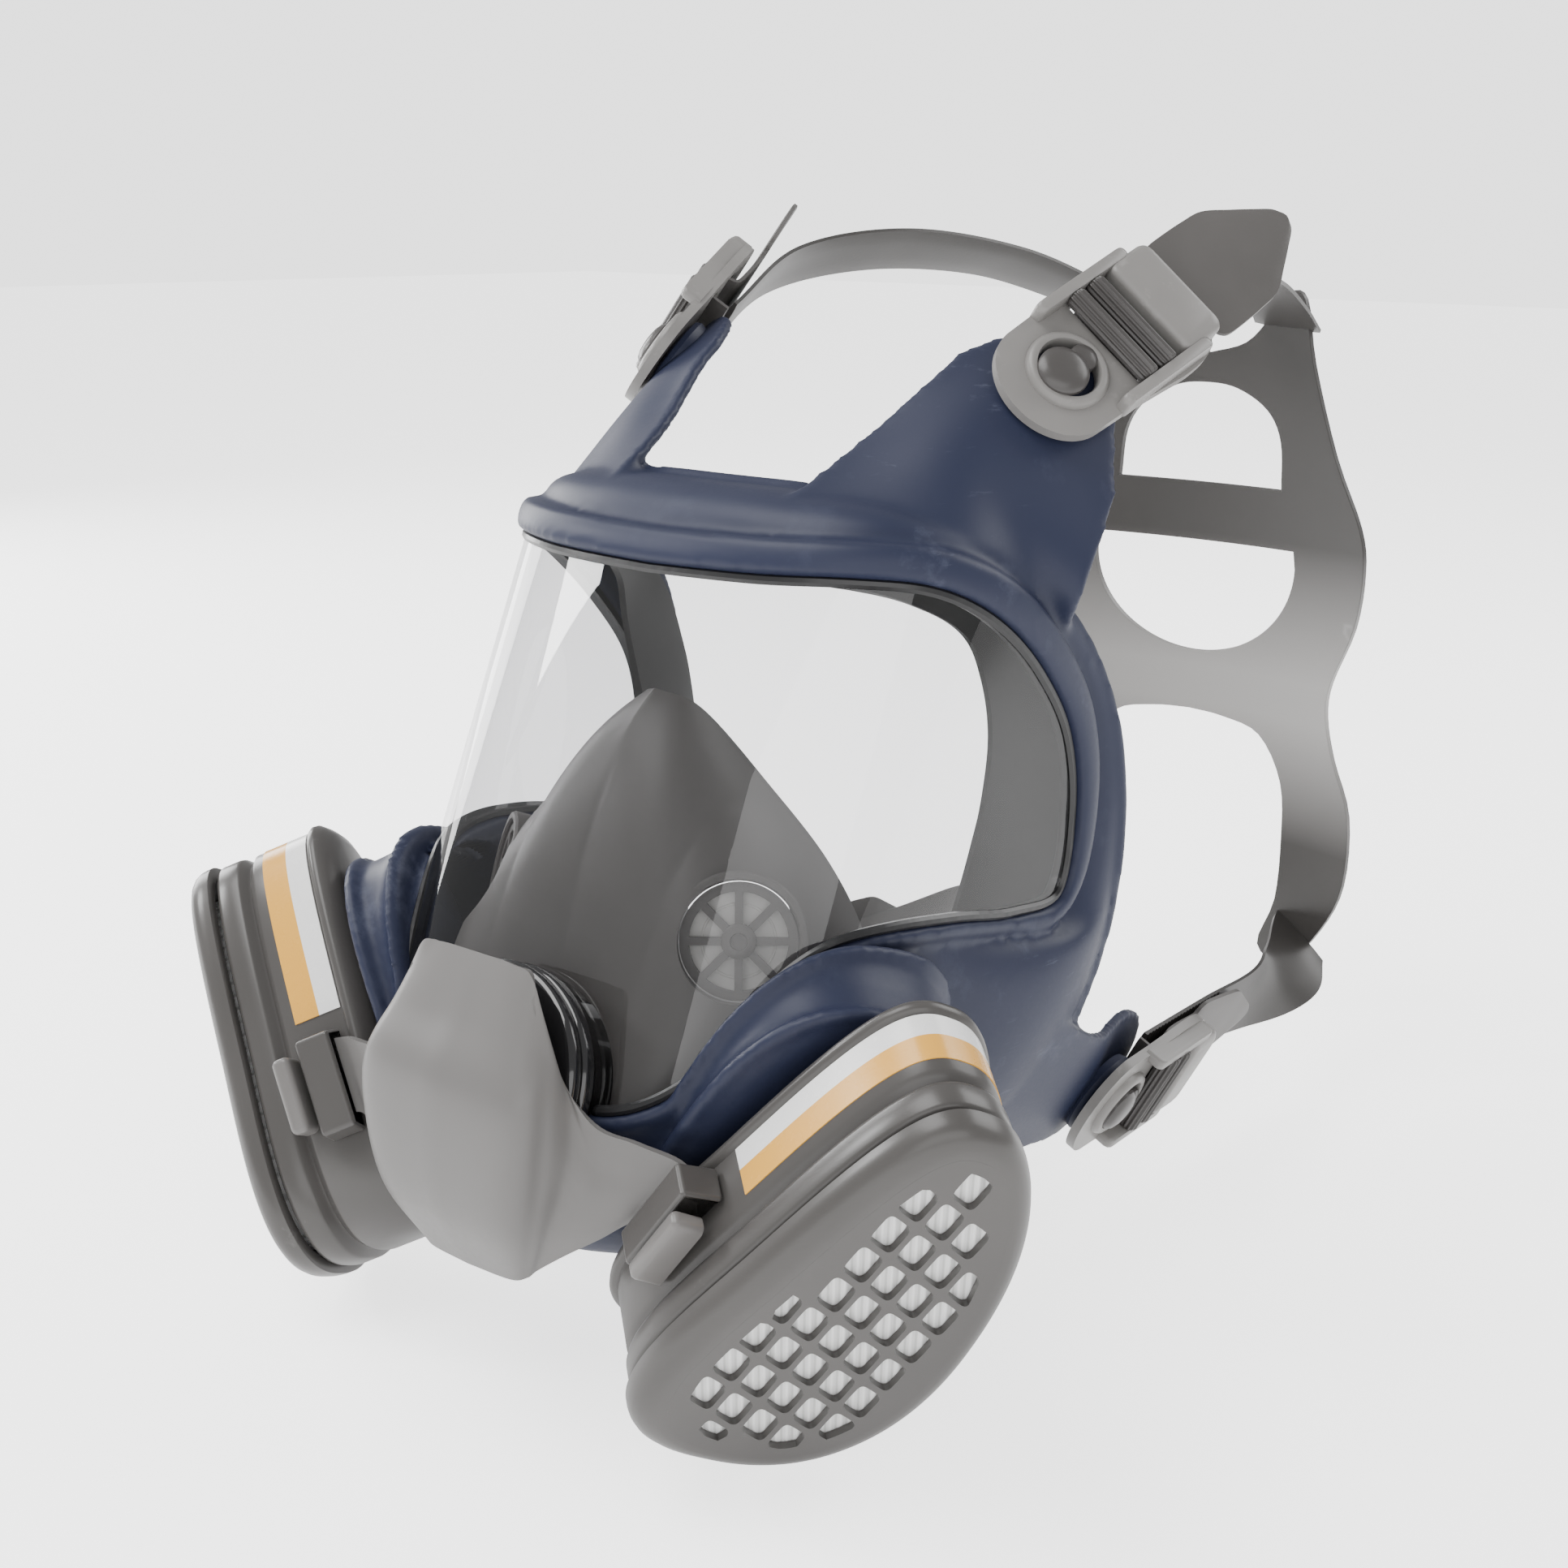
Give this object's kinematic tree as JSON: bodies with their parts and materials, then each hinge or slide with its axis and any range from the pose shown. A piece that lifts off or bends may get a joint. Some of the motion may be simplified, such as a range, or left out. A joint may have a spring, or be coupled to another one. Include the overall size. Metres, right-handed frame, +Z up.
{
  "type": "full-face respirator",
  "caption": "Full-face respirator with a wrapped clear visor, blue rubber facepiece, twin kidney-shaped filters on side ports, front valve cover and a strapped head harness.",
  "frame": {"origin": "middle of the face seal, between the wearer's cheeks on the plane of symmetry", "axes": "+X towards the wearer's left, +Y backwards out of the mask towards the head harness, +Z up"},
  "size_m": [0.2758, 0.3605, 0.2879],
  "materials": {
    "blue_rubber": "satin, dark blue, moulded",
    "clear_lens": "clear polycarbonate, glossy",
    "dark_rubber": "matt black",
    "grey_rubber": "satin dark grey",
    "valve_rubber": "pale, soft",
    "black_gloss": "polished black",
    "cover_plastic": "fine matt grey",
    "filter_plastic": "fine matt dark grey",
    "filter_media": "white pleated web",
    "carbon": "black granules, packed",
    "label_film": "printed film, white and orange",
    "buckle_plastic": "satin grey",
    "harness_rubber": "satin dark grey"
  },
  "bodies": {
    "facepiece": {"facepiece_shell": "blue_rubber", "visor": "clear_lens", "visor_gasket": "dark_rubber", "face_seal": "dark_rubber", "nose_cup": "grey_rubber", "nose_cup_valve_seat_right": "grey_rubber", "nose_cup_valve_seat_left": "grey_rubber", "exhalation_port": "black_gloss", "exhalation_valve_seat": "black_gloss", "front_cover": "cover_plastic", "filter_port_right": "filter_plastic", "filter_port_left": "filter_plastic", "port_gasket_right": "dark_rubber", "port_gasket_left": "dark_rubber", "port_valve_seat_right": "filter_plastic", "port_valve_seat_left": "filter_plastic", "upper_stud_right": "grey_rubber", "upper_stud_left": "grey_rubber", "lower_stud_right": "grey_rubber", "lower_stud_left": "grey_rubber", "head_harness": "harness_rubber"},
    "exhalation_flap": {"exhalation_valve_flap": "valve_rubber"},
    "filter_right": {"filter_body_right": "filter_plastic", "filter_cap_right": "filter_plastic", "filter_media_right": "filter_media", "carbon_bed_right": "carbon", "filter_label_right": "label_film", "arm_hood_right": "filter_plastic"},
    "latch_right": {"latch_button_right": "filter_plastic"},
    "cup_flap_right": {"nose_cup_valve_flap_right": "valve_rubber"},
    "port_flap_right": {"port_valve_flap_right": "valve_rubber"},
    "upper_fastener_right": {"upper_buckle_right": "buckle_plastic", "upper_strap_tail_right": "harness_rubber"},
    "lower_fastener_right": {"lower_buckle_right": "buckle_plastic", "lower_strap_tail_right": "harness_rubber"},
    "filter_left": {"filter_body_left": "filter_plastic", "filter_cap_left": "filter_plastic", "filter_media_left": "filter_media", "carbon_bed_left": "carbon", "filter_label_left": "label_film", "arm_hood_left": "filter_plastic"},
    "latch_left": {"latch_button_left": "filter_plastic"},
    "cup_flap_left": {"nose_cup_valve_flap_left": "valve_rubber"},
    "port_flap_left": {"port_valve_flap_left": "valve_rubber"},
    "upper_fastener_left": {"upper_buckle_left": "buckle_plastic", "upper_strap_tail_left": "harness_rubber"},
    "lower_fastener_left": {"lower_buckle_left": "buckle_plastic", "lower_strap_tail_left": "harness_rubber"}
  },
  "joints": [
    {"name": "exhalation_flap_lift", "type": "slide", "parent": "facepiece", "child": "exhalation_flap", "axis": [0, -0.9135, 0.4067], "range_m": [0, 0.002], "stiffness_N_per_m": 40},
    {"name": "filter_pull_right", "type": "slide", "parent": "facepiece", "child": "filter_right", "axis": [0.7156, -0.5707, -0.4028], "range_m": [0, 0.03]},
    {"name": "latch_press_right", "type": "slide", "parent": "filter_right", "child": "latch_right", "axis": [0.4069, 0.8093, -0.4237], "range_m": [0, 0.0008], "stiffness_N_per_m": 400},
    {"name": "cup_flap_lift_right", "type": "slide", "parent": "facepiece", "child": "cup_flap_right", "axis": [-0.6201, 0.7402, -0.2601], "range_m": [0, 0.0015], "stiffness_N_per_m": 40},
    {"name": "port_flap_lift_right", "type": "slide", "parent": "facepiece", "child": "port_flap_right", "axis": [-0.7156, 0.5707, 0.4028], "range_m": [0, 0.0015], "stiffness_N_per_m": 40},
    {"name": "upper_buckle_turn_right", "type": "hinge", "parent": "facepiece", "child": "upper_fastener_right", "pos_m": [0.0649, 0.0216, 0.1116], "axis": [0.6682, -0.4437, 0.5972], "range_deg": [-10, 10]},
    {"name": "lower_buckle_turn_right", "type": "hinge", "parent": "facepiece", "child": "lower_fastener_right", "pos_m": [0.0666, 0.058, -0.0925], "axis": [0.8808, 0.0529, -0.4705], "range_deg": [-10, 10]},
    {"name": "filter_pull_left", "type": "slide", "parent": "facepiece", "child": "filter_left", "axis": [-0.7156, -0.5707, -0.4028], "range_m": [0, 0.03]},
    {"name": "latch_press_left", "type": "slide", "parent": "filter_left", "child": "latch_left", "axis": [-0.4069, 0.8093, -0.4237], "range_m": [0, 0.0008], "stiffness_N_per_m": 400},
    {"name": "cup_flap_lift_left", "type": "slide", "parent": "facepiece", "child": "cup_flap_left", "axis": [0.6201, 0.7402, -0.2601], "range_m": [0, 0.0015], "stiffness_N_per_m": 40},
    {"name": "port_flap_lift_left", "type": "slide", "parent": "facepiece", "child": "port_flap_left", "axis": [0.7156, 0.5707, 0.4028], "range_m": [0, 0.0015], "stiffness_N_per_m": 40},
    {"name": "upper_buckle_turn_left", "type": "hinge", "parent": "facepiece", "child": "upper_fastener_left", "pos_m": [-0.0649, 0.0216, 0.1116], "axis": [-0.6682, -0.4437, 0.5972], "range_deg": [-10, 10]},
    {"name": "lower_buckle_turn_left", "type": "hinge", "parent": "facepiece", "child": "lower_fastener_left", "pos_m": [-0.0666, 0.058, -0.0925], "axis": [-0.8808, 0.0529, -0.4705], "range_deg": [-10, 10]}
  ]
}
